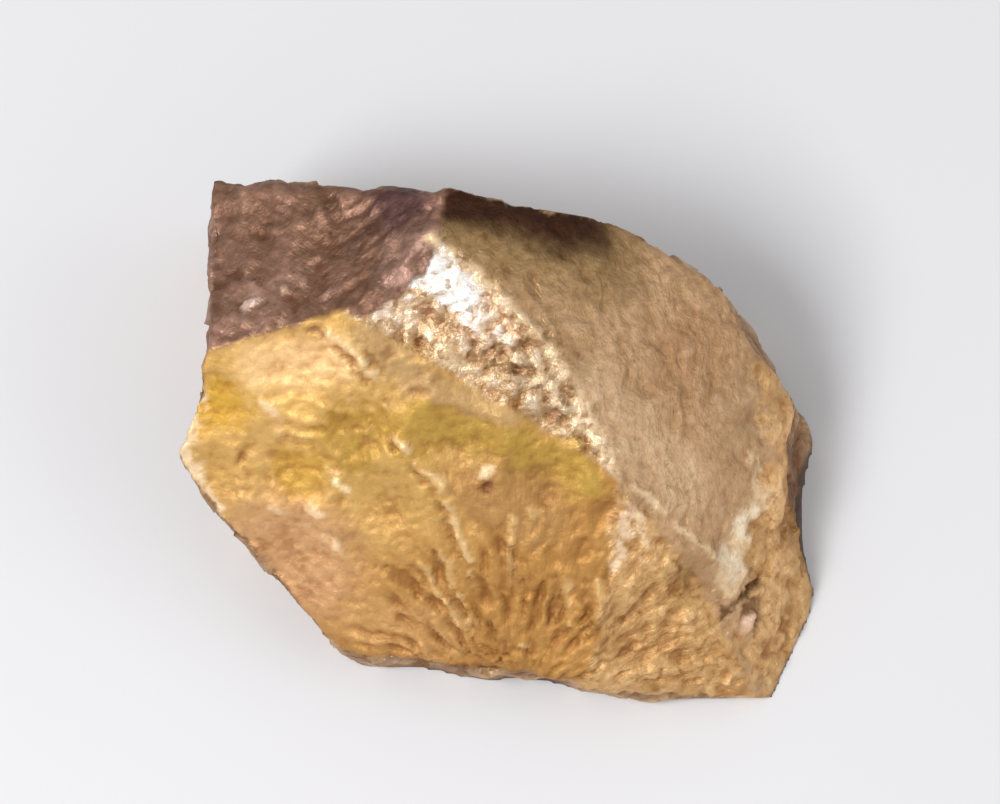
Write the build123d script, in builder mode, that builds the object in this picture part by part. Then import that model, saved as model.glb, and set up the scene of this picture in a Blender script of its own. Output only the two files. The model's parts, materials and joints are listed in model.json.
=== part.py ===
from build123d import *
import os
from typing import NamedTuple

# One lump broken from a cast ingot of copper and yttrium alloy. It lies on the flat face that the
# mould gave the ingot. Every other face is a break: most are flat, and one swells like the outside
# of a ball. A step is broken out of the left side, a fan of grooves spreads up the front, and flakes
# that flew off left shallow hollows all round. Lengths are in millimetres and angles in degrees.
#
# X runs along the lump, Y across it and Z up. The origin is under the middle of the lump, on the
# mould face.


class Break(NamedTuple):
    """A face where the lump broke off, placed from the heart of the lump."""

    heading: float  # compass direction that the face looks to, from +X towards +Y
    dip: float  # how far the face leans over: 0 looks up, 90 sideways, 180 down
    reach: float  # from the heart to the face, square to it
    swell: float = 0.0  # radius of a face that bulges, or 0 for a flat one


class Hollow(NamedTuple):
    """A round hollow that a flake left in a break, placed from the middle of the break."""

    face: Break  # the break that it is in
    along: float  # level along the face, to the right of someone looking at it from outside
    up: float  # up the slope of the face
    width: float  # across the rim
    depth: float  # below the face


class Groove(NamedTuple):
    """A groove of the fan, deepest at the focus and running out up the slope of its break."""

    face: Break  # the break that it runs up
    turn: float  # away from straight up the slope, to the right
    length: float  # from the focus
    depth: float  # at the focus


# The heart is the point inside the lump that every break is measured from.
HEART_HEIGHT = 14.0

# The faces on top, from the highest to the lowest
TARNISHED_FACE = Break(heading=168, dip=22, reach=22.3)
SPARKLING_FACE = Break(heading=277, dip=32.5, reach=14.0)
TAN_FACE = Break(heading=336, dip=32, reach=15.2, swell=95)
FAN_FACE = Break(heading=265, dip=44, reach=13.9)
GOLDEN_FACE = Break(heading=259, dip=46.5, reach=14.5)
CORNER_FACE = Break(heading=288, dip=47.5, reach=17.0)
SHOULDER_FACE = Break(heading=351, dip=55, reach=20.5)
LOW_SHOULDER_FACE = Break(heading=336, dip=55, reach=20.4)

# The faces round the sides, from the right and on past the back
RIGHT_SIDE = Break(heading=0, dip=75, reach=25.6)
BACK_RIGHT_SIDE = Break(heading=31, dip=78, reach=22.2)
BACK_FLANK = Break(heading=57, dip=76, reach=18.0)
BACK_SIDE = Break(heading=83, dip=78, reach=14.5)
BACK_LEFT_SIDE = Break(heading=135, dip=86, reach=31.2)
LEFT_UNDERCUT = Break(heading=190, dip=104, reach=29.3)
FRONT_LEFT_UNDERCUT = Break(heading=219, dip=103, reach=28.4)
FRONT_UNDERCUT = Break(heading=263, dip=102, reach=27.7)
CORNER_UNDERCUT = Break(heading=271, dip=98, reach=29.3)

BREAKS = (
    TARNISHED_FACE,
    SPARKLING_FACE,
    TAN_FACE,
    FAN_FACE,
    GOLDEN_FACE,
    CORNER_FACE,
    SHOULDER_FACE,
    LOW_SHOULDER_FACE,
    RIGHT_SIDE,
    BACK_RIGHT_SIDE,
    BACK_FLANK,
    BACK_SIDE,
    BACK_LEFT_SIDE,
    LEFT_UNDERCUT,
    FRONT_LEFT_UNDERCUT,
    FRONT_UNDERCUT,
    CORNER_UNDERCUT,
)

# The edges that are worn blunt, each between two flat breaks
EDGE_WEAR = 0.35
WORN_EDGES = (
    (TARNISHED_FACE, BACK_SIDE),
    (GOLDEN_FACE, LEFT_UNDERCUT),
    (GOLDEN_FACE, FRONT_LEFT_UNDERCUT),
    (GOLDEN_FACE, FRONT_UNDERCUT),
    (FAN_FACE, FRONT_UNDERCUT),
    (CORNER_FACE, CORNER_UNDERCUT),
    (SHOULDER_FACE, RIGHT_SIDE),
    (LOW_SHOULDER_FACE, RIGHT_SIDE),
    (RIGHT_SIDE, BACK_RIGHT_SIDE),
    (BACK_FLANK, BACK_SIDE),
    (BACK_SIDE, BACK_LEFT_SIDE),
    (LEFT_UNDERCUT, FRONT_LEFT_UNDERCUT),
    (FRONT_LEFT_UNDERCUT, FRONT_UNDERCUT),
)

# The step in the left side: what lies outside both its wall and its flank is gone
WALL_DEPTH = 2.2  # from the reach of the left side
FLANK_DEPTH = 3.3
STEP_WALL = Break(heading=180, dip=90, reach=LEFT_UNDERCUT.reach - WALL_DEPTH)
STEP_FLANK = Break(heading=161, dip=86, reach=LEFT_UNDERCUT.reach - FLANK_DEPTH)

# The fan: grooves that spread up the front from a focus below the rim of the fan face
FAN_FOCUS_ALONG = 3.9
FAN_FOCUS_UP = -27.3
GROOVE_RADIUS = 2.6
FAN_GROOVES = (
    Groove(GOLDEN_FACE, turn=-58, length=22.0, depth=1.0),
    Groove(GOLDEN_FACE, turn=-47, length=25.0, depth=1.0),
    Groove(GOLDEN_FACE, turn=-37, length=18.0, depth=1.0),
    Groove(GOLDEN_FACE, turn=-27, length=22.0, depth=0.9),
    Groove(FAN_FACE, turn=-13, length=17.0, depth=0.9),
    Groove(FAN_FACE, turn=-2, length=21.0, depth=0.8),
    Groove(FAN_FACE, turn=9, length=16.0, depth=0.9),
    Groove(FAN_FACE, turn=21, length=19.0, depth=0.8),
)

# The hollows in the golden metal, which meet in ridges
GOLDEN_HOLLOWS = (
    Hollow(GOLDEN_FACE, along=-24.6, up=-1.0, width=8.5, depth=0.7),
    Hollow(GOLDEN_FACE, along=-17.4, up=-5.6, width=10.5, depth=0.8),
    Hollow(GOLDEN_FACE, along=-11.4, up=-0.4, width=7.5, depth=0.7),
    Hollow(GOLDEN_FACE, along=-18.4, up=4.6, width=10.0, depth=0.5),
    Hollow(GOLDEN_FACE, along=-24.4, up=-8.0, width=7.0, depth=0.6),
    Hollow(GOLDEN_FACE, along=-8.8, up=-7.6, width=8.0, depth=0.6),
    Hollow(GOLDEN_FACE, along=-16.6, up=-15.4, width=12.5, depth=0.8),
    Hollow(GOLDEN_FACE, along=-9.6, up=-14.2, width=7.0, depth=0.5),
    Hollow(FAN_FACE, along=-9.2, up=5.4, width=7.0, depth=0.6),
    Hollow(FAN_FACE, along=-3.2, up=-0.8, width=9.5, depth=0.7),
    Hollow(FAN_FACE, along=5.4, up=-2.8, width=8.5, depth=0.8),
)

# The hollows in the other faces on top
TOP_HOLLOWS = (
    Hollow(TARNISHED_FACE, along=-1.2, up=-7.4, width=14.0, depth=0.7),
    Hollow(TARNISHED_FACE, along=-1.5, up=-18.6, width=13.0, depth=0.6),
    Hollow(SPARKLING_FACE, along=-8.6, up=8.6, width=7.0, depth=0.5),
    Hollow(SPARKLING_FACE, along=-3.4, up=3.2, width=8.0, depth=0.7),
    Hollow(SPARKLING_FACE, along=2.6, up=-3.0, width=7.0, depth=0.6),
    Hollow(CORNER_FACE, along=4.6, up=-21.0, width=9.0, depth=0.7),
    Hollow(CORNER_FACE, along=14.0, up=-18.2, width=10.9, depth=1.2),
)

# The hollows round the sides
SIDE_HOLLOWS = (
    Hollow(RIGHT_SIDE, along=-9.3, up=-17.0, width=17.6, depth=1.6),
    Hollow(BACK_RIGHT_SIDE, along=-11.0, up=-14.5, width=11.0, depth=0.9),
    Hollow(BACK_RIGHT_SIDE, along=-8.5, up=-5.0, width=9.0, depth=0.8),
    Hollow(BACK_FLANK, along=-10.0, up=-13.5, width=12.0, depth=1.0),
    Hollow(BACK_FLANK, along=-9.0, up=-3.0, width=10.0, depth=0.8),
    Hollow(BACK_SIDE, along=-7.0, up=-11.0, width=12.0, depth=1.0),
    Hollow(BACK_SIDE, along=-6.5, up=0.5, width=11.0, depth=0.9),
    Hollow(BACK_SIDE, along=3.0, up=-6.0, width=12.0, depth=1.0),
    Hollow(BACK_SIDE, along=3.5, up=6.5, width=12.5, depth=0.9),
    Hollow(BACK_SIDE, along=13.5, up=1.5, width=13.0, depth=1.1),
    Hollow(BACK_SIDE, along=14.5, up=-11.0, width=13.0, depth=1.0),
    Hollow(BACK_SIDE, along=24.0, up=-2.0, width=10.0, depth=0.8),
    Hollow(STEP_WALL, along=-3.0, up=5.5, width=12.0, depth=0.9),
    Hollow(STEP_WALL, along=-6.0, up=-6.5, width=13.0, depth=1.0),
    Hollow(LEFT_UNDERCUT, along=-1.5, up=-1.0, width=12.0, depth=0.9),
    Hollow(FRONT_LEFT_UNDERCUT, along=2.0, up=-3.5, width=12.0, depth=0.9),
    Hollow(FRONT_UNDERCUT, along=-4.0, up=-5.0, width=9.0, depth=0.8),
    Hollow(FRONT_UNDERCUT, along=6.5, up=-5.5, width=10.0, depth=0.8),
)


def break_plane(face):
    """The plane of a break: Z looks out of the lump, X runs level and Y up the slope."""
    outward = Vector(0, 0, 1).rotate(Axis.Y, face.dip).rotate(Axis.Z, face.heading)
    level = Vector(0, 1, 0).rotate(Axis.Z, face.heading)
    heart = Vector(0, 0, HEART_HEIGHT)
    return Plane(origin=heart + outward * face.reach, x_dir=level, z_dir=outward)


def wear_plane(first, second):
    """The plane that blunts the edge between two flat breaks. It looks out halfway between them."""
    outward = break_plane(first).z_dir + break_plane(second).z_dir
    reach = (first.reach + second.reach) / outward.length - EDGE_WEAR
    return Plane(origin=Vector(0, 0, HEART_HEIGHT) + outward.normalized() * reach, z_dir=outward)


def groove_plane(groove):
    """The plane that a groove is pushed up from: it stands at the focus, and Z is the groove's axis."""
    face = break_plane(groove.face)
    focus = break_plane(FAN_FACE).from_local_coords((FAN_FOCUS_ALONG, FAN_FOCUS_UP, 0))
    start = face.to_local_coords(focus)
    up_slope = face.y_dir.rotate(Axis((0, 0, 0), face.z_dir), -groove.turn)
    return Plane(
        origin=face.from_local_coords((start.X, start.Y, GROOVE_RADIUS - groove.depth)),
        z_dir=up_slope * groove.length + face.z_dir * groove.depth,
    )


# A piece of the ingot, larger than the lump in every direction, broken down face by face
farthest = 2 * max(face.reach for face in BREAKS)
with BuildPart() as rough_lump:
    with BuildSketch(Plane.XY):
        Circle(farthest)
    extrude(amount=farthest)
    for face in BREAKS:
        if face.swell > 0:
            with Locations(break_plane(face).from_local_coords((0, 0, -face.swell))):
                Sphere(face.swell, mode=Mode.INTERSECT)
        else:
            split(bisect_by=break_plane(face), keep=Keep.BOTTOM)
    for first, second in WORN_EDGES:
        split(bisect_by=wear_plane(first, second), keep=Keep.BOTTOM)

# What broke off at the step in the left side
with BuildPart() as step:
    add(rough_lump.part)
    for face in (STEP_WALL, STEP_FLANK):
        split(bisect_by=break_plane(face), keep=Keep.TOP)

# The lump with all that is broken out of it
with BuildPart() as chipped_lump:
    add(rough_lump.part)
    add(step.part, mode=Mode.SUBTRACT)
    for groove in FAN_GROOVES:
        with BuildSketch(groove_plane(groove)):
            Circle(GROOVE_RADIUS)
        extrude(amount=groove.length, mode=Mode.SUBTRACT)
    for hollow in GOLDEN_HOLLOWS + TOP_HOLLOWS + SIDE_HOLLOWS:
        radius = (hollow.width**2 / 4 + hollow.depth**2) / (2 * hollow.depth)
        ball_middle = (hollow.along, hollow.up, radius - hollow.depth)
        with Locations(break_plane(hollow.face).from_local_coords(ball_middle)):
            Sphere(radius, mode=Mode.SUBTRACT)

# The lump moved over the origin
middle = chipped_lump.part.bounding_box().center()
with BuildPart() as alloy_lump:
    with Locations((-middle.X, -middle.Y)):
        add(chipped_lump.part)

alloy_lump.part.label = "alloy_lump"
os.makedirs("parts", exist_ok=True)
export_step(alloy_lump.part, "parts/alloy_lump.step")
print(f"middle {middle.X:.3f} {middle.Y:.3f}, volume {alloy_lump.part.volume:.0f} mm3")
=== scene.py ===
"""A lump of copper and yttrium alloy, broken from a cast ingot, on the floor of a plain studio."""

import json
import logging
import math
from dataclasses import dataclass, field
from enum import Enum
from typing import NamedTuple, Union

import bpy
import numpy as np
from mathutils import Matrix, Vector

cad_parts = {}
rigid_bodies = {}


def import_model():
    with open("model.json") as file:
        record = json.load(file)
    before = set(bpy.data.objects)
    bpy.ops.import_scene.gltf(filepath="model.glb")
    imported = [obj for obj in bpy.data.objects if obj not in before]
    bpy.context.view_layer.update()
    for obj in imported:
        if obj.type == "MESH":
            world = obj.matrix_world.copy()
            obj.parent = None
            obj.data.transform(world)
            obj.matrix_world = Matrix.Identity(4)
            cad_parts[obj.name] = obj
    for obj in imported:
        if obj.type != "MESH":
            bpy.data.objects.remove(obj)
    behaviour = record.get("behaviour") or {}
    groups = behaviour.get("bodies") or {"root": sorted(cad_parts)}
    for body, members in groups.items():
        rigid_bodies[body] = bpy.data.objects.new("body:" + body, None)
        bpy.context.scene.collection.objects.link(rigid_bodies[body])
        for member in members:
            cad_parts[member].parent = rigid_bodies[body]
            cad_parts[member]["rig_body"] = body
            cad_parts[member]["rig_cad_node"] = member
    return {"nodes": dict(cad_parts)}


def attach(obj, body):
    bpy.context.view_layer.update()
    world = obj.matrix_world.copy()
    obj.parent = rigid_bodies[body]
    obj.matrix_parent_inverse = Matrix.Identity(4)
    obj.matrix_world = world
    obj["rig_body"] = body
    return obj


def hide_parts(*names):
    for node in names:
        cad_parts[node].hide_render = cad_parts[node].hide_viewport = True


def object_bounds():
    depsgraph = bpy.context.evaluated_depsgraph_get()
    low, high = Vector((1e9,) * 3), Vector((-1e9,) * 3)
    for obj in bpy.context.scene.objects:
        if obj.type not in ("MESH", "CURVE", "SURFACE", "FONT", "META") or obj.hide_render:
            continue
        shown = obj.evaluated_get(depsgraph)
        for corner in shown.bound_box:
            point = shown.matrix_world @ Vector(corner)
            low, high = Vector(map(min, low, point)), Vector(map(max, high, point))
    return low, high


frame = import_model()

log = logging.getLogger("lump")

MM = 0.001
CAD_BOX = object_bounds()

Colour = tuple[float, float, float]
Triple = tuple[float, float, float]
Number = Union["Signal", float]
Value = Union["Signal", float, Triple]


# Node trees written as sums


class Signal:
    """A socket that is reckoned with as if it were a number."""

    def __init__(self, graph: "Graph", socket: bpy.types.NodeSocket) -> None:
        """Keeps the socket and the graph that it is in."""
        self.graph = graph
        self.socket = socket

    def _sum(self, operation: str, first: Number, second: Number) -> "Signal":
        """Adds one Math node."""
        return self.graph.node("ShaderNodeMath", {"operation": operation}, {0: first, 1: second})

    def __add__(self, other: Number) -> "Signal":
        """self + other."""
        return self._sum("ADD", self, other)

    __radd__ = __add__

    def __sub__(self, other: Number) -> "Signal":
        """self - other."""
        return self._sum("SUBTRACT", self, other)

    def __rsub__(self, other: Number) -> "Signal":
        """other - self."""
        return self._sum("SUBTRACT", other, self)

    def __mul__(self, other: Number) -> "Signal":
        """self * other."""
        return self._sum("MULTIPLY", self, other)

    __rmul__ = __mul__

    def sine(self) -> "Signal":
        """The sine of the number, in radians."""
        return self._sum("SINE", self, 0.0)

    def unsigned(self) -> "Signal":
        """The number without its sign."""
        return self._sum("ABSOLUTE", self, 0.0)

    def angle(self, other: Number) -> "Signal":
        """The angle of a point that lies this far along and other far up, in radians."""
        return self._sum("ARCTAN2", self, other)

    def rise(self, low: float, high: float) -> "Signal":
        """A smooth step from 0 at low to 1 at high, which may be the lower of the two."""
        ends = {"Value": self, "From Min": low, "From Max": high}
        return self.graph.node("ShaderNodeMapRange", {"interpolation_type": "SMOOTHSTEP"}, ends)


class Mixing(Enum):
    """What a Mix node mixes: its data type, and the word in the names of its sockets."""

    COLOUR = ("RGBA", "Color")
    VECTOR = ("VECTOR", "Vector")


class Graph:
    """A node tree and the ways to add to it. Lengths in it are in millimetres."""

    def __init__(self, tree: bpy.types.NodeTree) -> None:
        """Keeps the tree."""
        self.tree = tree

    @staticmethod
    def _pick(sockets: bpy.types.bpy_prop_collection, key: Union[int, str]) -> bpy.types.NodeSocket:
        """Finds a socket by its number, its identifier or its name."""
        if isinstance(key, int):
            return sockets[key]
        named = [socket for socket in sockets if key in (socket.identifier, socket.name)]
        return named[0]

    def node(
        self,
        kind: str,
        settings: dict[str, object] | None = None,
        inputs: dict[Union[int, str], object] | None = None,
        output: Union[int, str] = 0,
    ) -> Signal:
        """Adds a node.

        Args:
            kind: the node's type.
            settings: its own properties, which are set before its sockets.
            inputs: a value or a Signal for each input socket that is used.
            output: the output socket that is wanted.

        Returns:
            The output as a Signal.
        """
        made = self.tree.nodes.new(kind)
        for name, value in (settings or {}).items():
            setattr(made, name, value)
        for key, value in (inputs or {}).items():
            socket = self._pick(made.inputs, key)
            if isinstance(value, Signal):
                self.tree.links.new(value.socket, socket)
            else:
                socket.default_value = value
        return Signal(self, self._pick(made.outputs, output))

    def vector(self, operation: str, *values: object, output: str = "Vector") -> Signal:
        """Adds a Vector Math node on one, two or three vectors."""
        return self.node("ShaderNodeVectorMath", {"operation": operation}, dict(enumerate(values)), output)

    def scaled(self, vector: Signal, factor: Number) -> Signal:
        """A vector times a number."""
        return self.node("ShaderNodeVectorMath", {"operation": "SCALE"}, {0: vector, "Scale": factor})

    def along(self, place: Signal, direction: Vector) -> Signal:
        """How far a place lies along a direction."""
        return self.vector("DOT_PRODUCT", place, tuple(direction), output="Value")

    def away(self, place: Signal, start: Triple, end: Triple | None = None) -> Signal:
        """How far a place lies from a point or from a line.

        Args:
            place: the place.
            start: the point, or one end of the line.
            end: the other end of the line.

        Returns:
            The distance.
        """
        if end is None:
            return self.vector("DISTANCE", place, start, output="Value")
        line = Vector(end) - Vector(start)
        offset = self.vector("SUBTRACT", place, start)
        share = self.along(offset, line / line.length_squared)
        nearest = self.node("ShaderNodeClamp", {}, {"Value": share})
        foot = self.scaled(self.bundle(*line), nearest)
        return self.vector("DISTANCE", offset, foot, output="Value")

    def bundle(self, x: Number, y: Number, z: Number = 0.0) -> Signal:
        """Three numbers as one vector."""
        return self.node("ShaderNodeCombineXYZ", {}, {0: x, 1: y, 2: z})

    def parts(self, vector: Signal) -> tuple[Signal, ...]:
        """The three numbers of a vector."""
        split = self.node("ShaderNodeSeparateXYZ", {}, {0: vector}).socket.node
        return tuple(Signal(self, socket) for socket in split.outputs)

    def noise(self, place: Signal, size: float, detail: float = 2.0) -> Signal:
        """Cloudy noise.

        Args:
            place: where it is read.
            size: the width of its largest clouds.
            detail: how many times it is repeated at half the size.

        Returns:
            A value that is mostly between -1 and 1, and 0 on average.
        """
        clouds = self.node(
            "ShaderNodeTexNoise",
            {"noise_dimensions": "3D"},
            {"Vector": place, "Scale": 1 / size, "Detail": detail, "Roughness": 0.58},
        )
        return (clouds - 0.5) * 3.2

    def ridges(self, place: Signal) -> Signal:
        """Narrow ridges with broad valleys between them, one to each unit, from about -1 to 1."""
        return 0.6 - self.noise(place, 1.0, 2.0).unsigned() * 2.4

    def mix(self, share: Number, first: Value, second: Value, mixing: Mixing = Mixing.COLOUR) -> Signal:
        """One value turning into another.

        Args:
            share: how far it has turned, from 0 to 1.
            first: the value at 0.
            second: the value at 1.
            mixing: what the values are.

        Returns:
            The mixed value.
        """
        kind, word = mixing.value
        ends = {"A": first, "B": second}
        if mixing is Mixing.COLOUR:
            ends = {key: (*end, 1.0) if isinstance(end, tuple) else end for key, end in ends.items()}
        inputs = {f"{key}_{word}": end for key, end in ends.items()}
        settings = {"data_type": kind, "clamp_factor": True}
        return self.node("ShaderNodeMix", settings, {"Factor_Float": share, **inputs}, f"Result_{word}")

    def swirled(self, place: Signal, size: float, reach: float) -> Signal:
        """A place moved about, so that a pattern that is read there is bent.

        Args:
            place: the place.
            size: the width of a bend.
            reach: how far places are moved.

        Returns:
            The moved place.
        """
        inputs = {"Vector": place, "Scale": 1 / size, "Detail": 1.0}
        swirls = self.node("ShaderNodeTexNoise", {}, inputs, "Color")
        offset = self.vector("SUBTRACT", swirls, (0.5, 0.5, 0.5))
        return self.vector("ADD", place, self.scaled(offset, reach * 3.2))

    def crystals(self, place: Signal, size: float) -> "Crystals":
        """A surface broken along crystals.

        Args:
            place: where it is read.
            size: the width of a crystal.

        Returns:
            The crystals' facets, colours and distances from their middles.
        """
        place = self.scaled(place, 1.0 / size)
        cells = self.node("ShaderNodeTexVoronoi", {}, {"Vector": place, "Scale": 1.0}).socket.node.outputs
        distance, tint, middle = (Signal(self, cells[name]) for name in ("Distance", "Color", "Position"))
        tilt = self.vector("SUBTRACT", tint, (0.5, 0.5, 0.5))
        inside = self.vector("SUBTRACT", place, middle)
        facet = self.vector("DOT_PRODUCT", tilt, inside, output="Value") * size
        return Crystals(facet, self.parts(tint)[0], distance)


class Crystals(NamedTuple):
    """What a crystalline surface gives."""

    facet: Signal  # height of the tilted facets
    pick: Signal  # a random number from 0 to 1 for each crystal
    middle: Signal  # distance from the crystal's middle, in crystals


class Mark(Enum):
    """What the mesh keeps for each point: the name of the attribute, and its type.

    EDGE is the distance to the nearest edge, CALM to the nearest face of another kind, and SUNK the
    depth of the solid's hollows, as a negative number.
    """

    RELIEF = ("relief", "FLOAT")
    # the colour, with the painted light and shade laid into it
    COLOUR = ("stain", "FLOAT_COLOR")
    FLOW = ("flow", "FLOAT_VECTOR")
    DEPTHS = ("depths", "FLOAT_VECTOR")
    TONES = ("tones", "FLOAT_VECTOR")
    GLOSS = ("gloss", "FLOAT_VECTOR")
    BENT = ("bent", "FLOAT_VECTOR")
    CLOUDS = ("clouds", "FLOAT")
    RAGGED = ("ragged", "FLOAT")
    FINE = ("fine", "FLOAT")
    EDGE = ("edge", "FLOAT")
    CALM = ("calm", "FLOAT")
    SUNK = ("sunk", "FLOAT")


class Modelling:
    """The modelling tools that the lump is worked with."""

    @staticmethod
    def pick_up(piece: bpy.types.Object) -> None:
        """Selects one object and nothing else, and makes it the active one."""
        bpy.ops.object.select_all(action="DESELECT")
        piece.select_set(True)
        bpy.context.view_layer.objects.active = piece

    @staticmethod
    def work(piece: bpy.types.Object, kind: str, **settings: object) -> None:
        """Adds a modifier and applies it.

        Args:
            piece: the object that is worked.
            kind: the modifier's type.
            settings: its properties.
        """
        Modelling.pick_up(piece)
        tool = piece.modifiers.new(kind.lower(), kind)
        for name, value in settings.items():
            setattr(tool, name, value)
        bpy.ops.object.modifier_apply(modifier=tool.name)


class WorkGraph(Graph):
    """A geometry node tree that works on a mesh."""

    def __init__(self, name: str) -> None:
        """Makes the tree, with a way in and a way out."""
        super().__init__(bpy.data.node_groups.new(name, "GeometryNodeTree"))
        for way in ("INPUT", "OUTPUT"):
            self.tree.interface.new_socket("Geometry", in_out=way, socket_type="NodeSocketGeometry")
        self.mesh = self.node("NodeGroupInput")

    def place(self) -> Signal:
        """The position of a point, counted from under the heart."""
        in_frame = self.scaled(self.node("GeometryNodeInputPosition"), 1 / MM)
        return self.vector("ADD", in_frame, tuple(MIDDLE))

    def inside(self, kind: "Kind") -> Signal:
        """How deep inside a kind of face a point lies."""
        return self.node("GeometryNodeInputNamedAttribute", {}, {"Name": kind.value}, "Attribute")

    def kept(self, mark: Mark) -> Signal:
        """What the mesh keeps for a point."""
        name, kind = mark.value
        settings = {"data_type": kind}
        return self.node("GeometryNodeInputNamedAttribute", settings, {"Name": name}, "Attribute")

    def keep(self, values: dict[Mark, Value]) -> None:
        """Keeps values on the mesh, which until then are only reckoned with."""
        for mark, value in values.items():
            name, kind = mark.value
            settings = {"data_type": kind, "domain": "POINT"}
            inputs = {"Geometry": self.mesh, "Name": name, "Value": value}
            self.mesh = self.node("GeometryNodeStoreNamedAttribute", settings, inputs)

    def move(self, relief: Signal) -> None:
        """Moves every point outwards along its normal."""
        offset = self.scaled(self.node("GeometryNodeInputNormal"), relief * MM)
        self.mesh = self.node("GeometryNodeSetPosition", {}, {"Geometry": self.mesh, "Offset": offset})

    def work(self, piece: bpy.types.Object) -> None:
        """Works the tree into the mesh of an object."""
        self.tree.links.new(self.mesh.socket, self.tree.nodes.new("NodeGroupOutput").inputs[0])
        Modelling.work(piece, "NODES", node_group=self.tree)


class SkinGraph(Graph):
    """A material's node tree."""

    def __init__(self, name: str) -> None:
        """Makes the material, with nothing in it."""
        self.material = bpy.data.materials.new(name)
        self.material.use_nodes = True
        super().__init__(self.material.node_tree)
        self.tree.nodes.clear()

    def place(self) -> Signal:
        """The position of a point."""
        return self.scaled(self.node("ShaderNodeTexCoord", {}, {}, "Object"), 1 / MM)

    def kept(self, mark: Mark) -> Signal:
        """A colour or vector that the mesh keeps for each point."""
        output = "Color" if mark is Mark.COLOUR else "Vector"
        return self.node("ShaderNodeAttribute", {"attribute_name": mark.value[0]}, {}, output)

    def finish(self, inputs: dict[str, object]) -> bpy.types.Material:
        """Puts a shader on the material.

        Args:
            inputs: a value or a Signal for each of the shader's sockets that is used.

        Returns:
            The finished material.
        """
        shader = self.node("ShaderNodeBsdfPrincipled", {}, inputs)
        output = self.tree.nodes.new("ShaderNodeOutputMaterial")
        self.tree.links.new(shader.socket, output.inputs["Surface"])
        return self.material


# The faces of the lump


class Kind(Enum):
    """The kinds of face. Each has an attribute that says how deep inside such a face a point lies."""

    GOLDEN = "golden"
    TARNISHED = "tarnished"
    SPARKLING = "sparkling"
    TAN = "tan"
    CORNER = "corner"
    SIDE = "side"
    MOULD = "mould"


@dataclass(frozen=True)
class Break:
    """A face where the lump broke off, placed from the heart of the lump as the solid's are."""

    kind: Kind
    heading: float
    dip: float
    reach: float
    swell: float = 0.0
    creep: float = 0.0  # lets the finish creep past the rims of the face
    flank: "Break | None" = None  # the other break of a step, which starts where both are passed

    def turn(self) -> Matrix:
        """The turn from upright to the way that the face looks."""
        heading = Matrix.Rotation(math.radians(self.heading), 3, "Z")
        return heading @ Matrix.Rotation(math.radians(self.dip), 3, "Y")

    def outward(self) -> Vector:
        """The direction that the face looks to."""
        return self.turn() @ Vector((0, 0, 1))

    def level(self) -> Vector:
        """The level direction along the face, to the right for someone who looks at it."""
        return self.turn() @ Vector((0, 1, 0))

    def upward(self) -> Vector:
        """The direction up the slope of the face."""
        return self.turn() @ Vector((-1, 0, 0))

    def height(self, points: np.ndarray) -> np.ndarray:
        """How far points lie outside the face, negative for inside."""
        outward = np.array(self.outward())
        if self.swell:
            middle = np.array(HEART) + outward * (self.reach - self.swell)
            return np.linalg.norm(points - middle, axis=1) - self.swell
        height = (points - np.array(HEART)) @ outward - self.reach
        return np.minimum(height, self.flank.height(points)) if self.flank else height


# Places on the lump are counted from the point on the mould face that is under its heart
HEART = Vector((0.0, 0.0, 14.0))
MIDDLE = Vector((-0.009, -3.618, 0.0))  # of the lump's box, over the origin of the frame

TARNISHED_FACE = Break(Kind.TARNISHED, heading=168, dip=22, reach=22.3)
SPARKLING_FACE = Break(Kind.SPARKLING, heading=277, dip=32.5, reach=14.0)
TAN_FACE = Break(Kind.TAN, heading=336, dip=32, reach=15.2, swell=95)
FAN_FACE = Break(Kind.GOLDEN, heading=265, dip=44, reach=13.9, creep=0.35)
GOLDEN_FACE = Break(Kind.GOLDEN, heading=259, dip=46.5, reach=14.5)
STEP_FLANK = Break(Kind.SIDE, heading=161, dip=86, reach=26.0)

BREAKS = (
    TARNISHED_FACE,
    SPARKLING_FACE,
    TAN_FACE,
    FAN_FACE,
    GOLDEN_FACE,
    Break(Kind.CORNER, heading=288, dip=47.5, reach=17.0),
    Break(Kind.CORNER, heading=351, dip=55, reach=20.5),
    Break(Kind.CORNER, heading=336, dip=55, reach=20.4),
    Break(Kind.SIDE, heading=0, dip=75, reach=25.6),
    Break(Kind.SIDE, heading=31, dip=78, reach=22.2),
    Break(Kind.SIDE, heading=57, dip=76, reach=18.0),
    Break(Kind.SIDE, heading=83, dip=78, reach=14.5),
    Break(Kind.SIDE, heading=135, dip=86, reach=31.2),
    Break(Kind.SIDE, heading=180, dip=90, reach=27.1, flank=STEP_FLANK),
    Break(Kind.SIDE, heading=190, dip=104, reach=29.3),
    Break(Kind.SIDE, heading=219, dip=103, reach=28.4),
    Break(Kind.SIDE, heading=263, dip=102, reach=27.7),
    Break(Kind.SIDE, heading=271, dip=98, reach=29.3),
    Break(Kind.MOULD, heading=0, dip=180, reach=HEART.z),
)


# The finishes of the faces

# DEEP darkens a colour where the tone is low: painted shade in hollows and low relief, and dark grain
DEEP = (0.58, 0.43, 0.30)  # what a hollow leaves of a colour
# PALE lightens a colour: pale grain, and painted light on crests
PALE = (1.30, 1.42, 1.70)  # what a bright grain makes of it

# How much each texture makes a colour paler, and how much paler all of it is. The relief's share is painted
# light on crests and painted shade in low places, the hollows' share painted shade.
RELIEF_SHADING = 2.4
SUNK_SHADE = 0.7
RAGGED_TONE = 0.35
FINE_TONE = 0.4
BASE_TONE = 0.2
FULL_TONE = 0.75  # at which a colour is as pale or as deep as it gets


class Grain(NamedTuple):
    """The textures that all the finishes share."""

    place: Signal
    bent: Signal  # the place, moved about a little
    clouds: Signal  # soft clouds, as wide as a finger
    ragged: Signal  # clouds as wide as a match
    fine: Signal  # grains that can just be seen
    sunk: Signal  # how deep the solid's hollows are, as a negative number
    high: Signal  # height above the floor
    right: Signal  # how far to the right


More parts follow.
